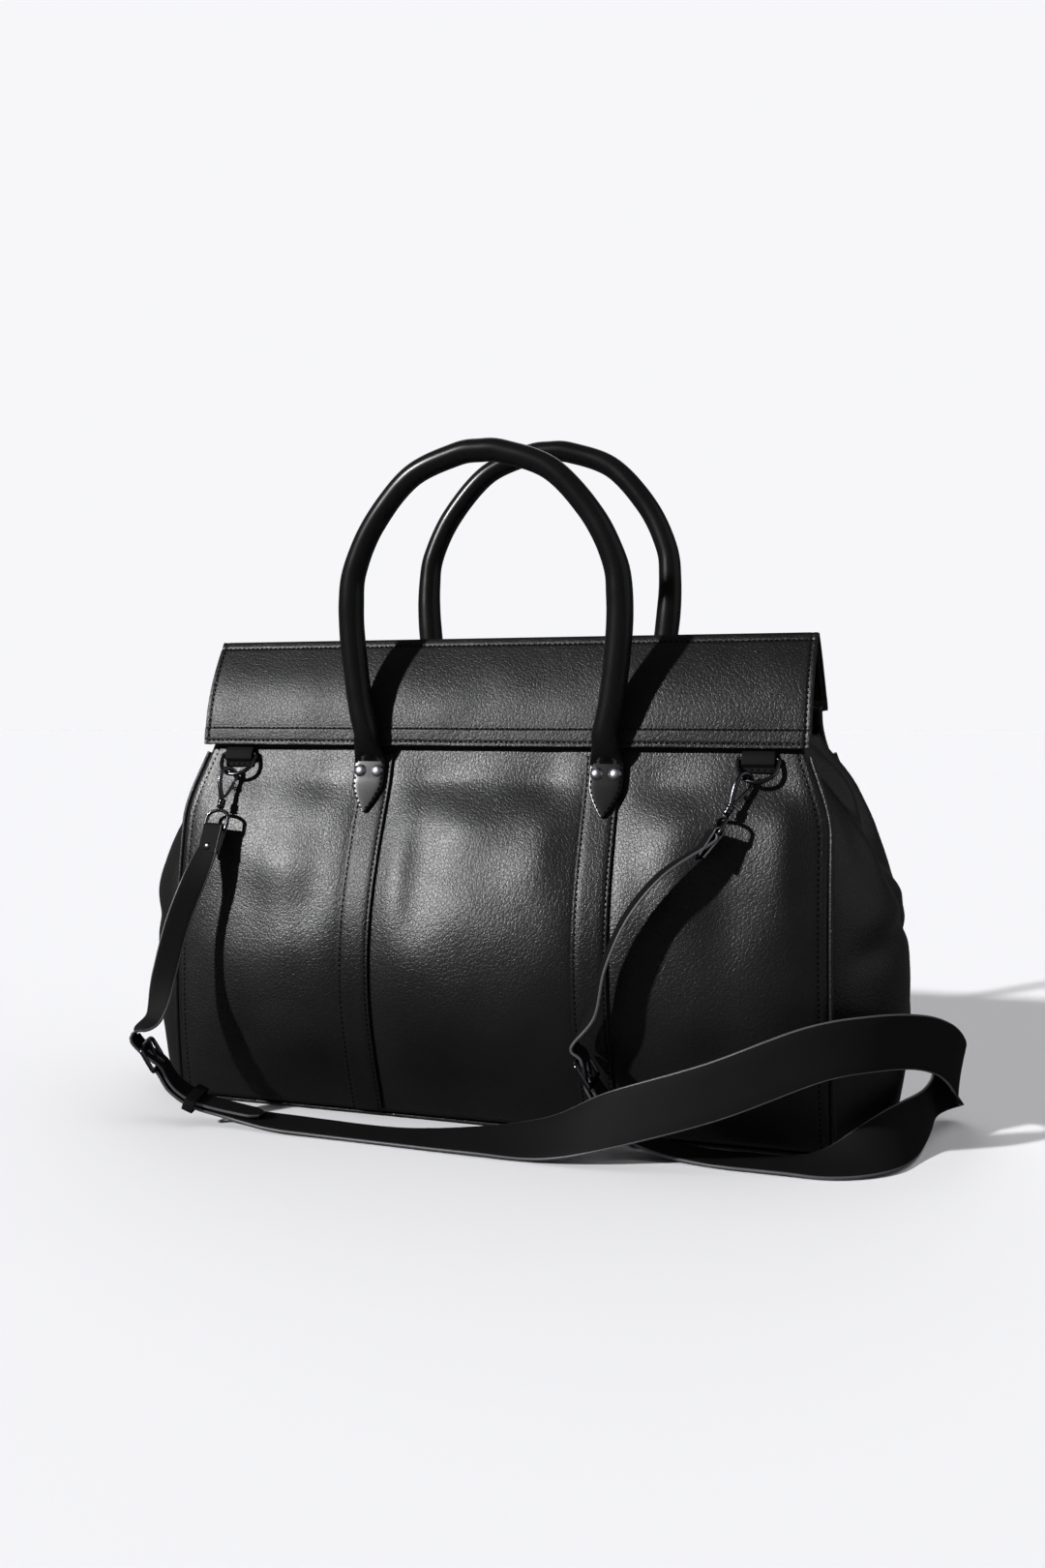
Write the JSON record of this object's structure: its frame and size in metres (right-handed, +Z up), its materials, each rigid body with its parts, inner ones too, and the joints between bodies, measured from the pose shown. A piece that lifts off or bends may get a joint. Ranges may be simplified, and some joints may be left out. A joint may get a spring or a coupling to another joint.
{
  "type": "travel holdall bag",
  "caption": "Soft black leather travel holdall with fold-over flap hems, two rolled handles on riveted tabs and a clip-on buckled shoulder strap.",
  "frame": {"origin": "middle of the underside of the base", "axes": "+Z up, +X along the bag to the right as seen from the front, the front faces -Y"},
  "size_m": [0.6812, 0.2874, 0.5576],
  "materials": {
    "bag_leather": "black pebbled leather, soft sheen",
    "strap_leather": "smooth matte black strap leather",
    "black_nickel": "polished black nickel",
    "zip_tape": "woven black tape",
    "lining_fabric": "plain woven cotton",
    "board": "stiff fibre board",
    "rope": "twisted cotton rope"
  },
  "bodies": {
    "root": {"front_panel": "bag_leather", "back_panel_lower": "bag_leather", "base_panel": "bag_leather", "base_board": "board", "lining": "lining_fabric", "flap_front": "bag_leather", "gusset_left": "bag_leather", "gusset_right": "bag_leather", "piping_front_left": "bag_leather", "piping_front_right": "bag_leather", "piping_back_left": "bag_leather", "piping_back_right": "bag_leather", "band_front_left": "bag_leather", "band_front_right": "bag_leather", "band_back_left": "bag_leather", "band_back_right": "bag_leather", "tab_front_left": "bag_leather", "tab_front_right": "bag_leather", "rivet_front_left_a": "black_nickel", "rivet_front_left_b": "black_nickel", "rivet_front_right_a": "black_nickel", "rivet_front_right_b": "black_nickel", "zip_chain_front": "zip_tape", "ring_tab_left": "bag_leather", "ring_tab_right": "bag_leather", "shoulder_strap": "strap_leather", "billet_left": "strap_leather", "billet_right": "strap_leather", "buckle_left": "black_nickel", "buckle_right": "black_nickel", "keeper_left": "strap_leather", "keeper_right": "strap_leather", "hook_eye_left": "black_nickel", "hook_eye_right": "black_nickel"},
    "mouth_back": {"back_panel_upper": "bag_leather", "flap_back": "bag_leather", "zip_chain_back": "zip_tape", "band_back_top_left": "bag_leather", "band_back_top_right": "bag_leather", "tab_back_left": "bag_leather", "tab_back_right": "bag_leather", "rivet_back_left_a": "black_nickel", "rivet_back_left_b": "black_nickel", "rivet_back_right_a": "black_nickel", "rivet_back_right_b": "black_nickel"},
    "handle_front": {"handle_front": "bag_leather", "handle_front_core": "rope"},
    "handle_back": {"handle_back": "bag_leather", "handle_back_core": "rope"},
    "zip_slider": {"zip_slider": "black_nickel"},
    "zip_pull": {"zip_pull": "black_nickel"},
    "d_ring_left": {"d_ring_left": "black_nickel"},
    "d_ring_right": {"d_ring_right": "black_nickel"},
    "hook_left": {"hook_left": "black_nickel"},
    "hook_right": {"hook_right": "black_nickel"},
    "hook_gate_left": {"hook_gate_left": "black_nickel"},
    "hook_gate_right": {"hook_gate_right": "black_nickel"},
    "prong_left": {"prong_left": "black_nickel"},
    "prong_right": {"prong_right": "black_nickel"}
  },
  "joints": [
    {"name": "mouth_opening", "type": "hinge", "parent": "root", "child": "mouth_back", "pos_m": [0, 0.0965, 0.217], "axis": [-1, 0, 0], "range_deg": [0, 40]},
    {"name": "handle_front_swing", "type": "hinge", "parent": "root", "child": "handle_front", "pos_m": [0, -0.079, 0.3052], "axis": [1, 0, 0], "range_deg": [-3, 95]},
    {"name": "handle_back_swing", "type": "hinge", "parent": "mouth_back", "child": "handle_back", "pos_m": [0, 0.073, 0.3327], "axis": [-1, 0, 0], "range_deg": [-3, 100]},
    {"name": "zip_slide", "type": "slide", "parent": "root", "child": "zip_slider", "axis": [-1, 0, 0], "range_m": [0, 0.46]},
    {"name": "zip_pull_swing", "type": "hinge", "parent": "zip_slider", "child": "zip_pull", "pos_m": [0.2358, -0.036, 0.3766], "axis": [0, 1, 0], "range_deg": [0, 60]},
    {"name": "ring_left_swing", "type": "hinge", "parent": "root", "child": "d_ring_left", "pos_m": [-0.218, -0.06942, 0.2885], "axis": [1, 0, 0], "range_deg": [-1, 1]},
    {"name": "ring_right_swing", "type": "hinge", "parent": "root", "child": "d_ring_right", "pos_m": [0.212, -0.06942, 0.2885], "axis": [1, 0, 0], "range_deg": [-1, 1]},
    {"name": "hook_left_swivel", "type": "hinge", "parent": "root", "child": "hook_left", "pos_m": [-0.2212, -0.0801, 0.2768], "axis": [-0.0741, -0.3704, -0.9259], "range_deg": [-8, 8]},
    {"name": "hook_right_swivel", "type": "hinge", "parent": "root", "child": "hook_right", "pos_m": [0.2068, -0.0791, 0.2774], "axis": [-0.4055, -0.4217, -0.811], "range_deg": [-8, 8]},
    {"name": "gate_left_open", "type": "hinge", "parent": "hook_left", "child": "hook_gate_left", "pos_m": [-0.22206, -0.08824, 0.2537], "axis": [0.7518, -0.6308, 0.1922], "range_deg": [0, 22], "stiffness_Nm_per_rad": 0.02, "springref_deg": -17.19},
    {"name": "gate_right_open", "type": "hinge", "parent": "hook_right", "child": "hook_gate_right", "pos_m": [0.19759, -0.08851, 0.25668], "axis": [0.7651, -0.642, -0.0487], "range_deg": [0, 22], "stiffness_Nm_per_rad": 0.02, "springref_deg": -17.19},
    {"name": "prong_left_lift", "type": "hinge", "parent": "root", "child": "prong_left", "pos_m": [-0.24493, -0.15362, 0.04607], "axis": [-0.2726, 0.9487, 0.1602], "range_deg": [0, 50]},
    {"name": "prong_right_lift", "type": "hinge", "parent": "root", "child": "prong_right", "pos_m": [0.10281, -0.12438, 0.05499], "axis": [0.0401, -0.9856, -0.1645], "range_deg": [0, 50]}
  ]
}
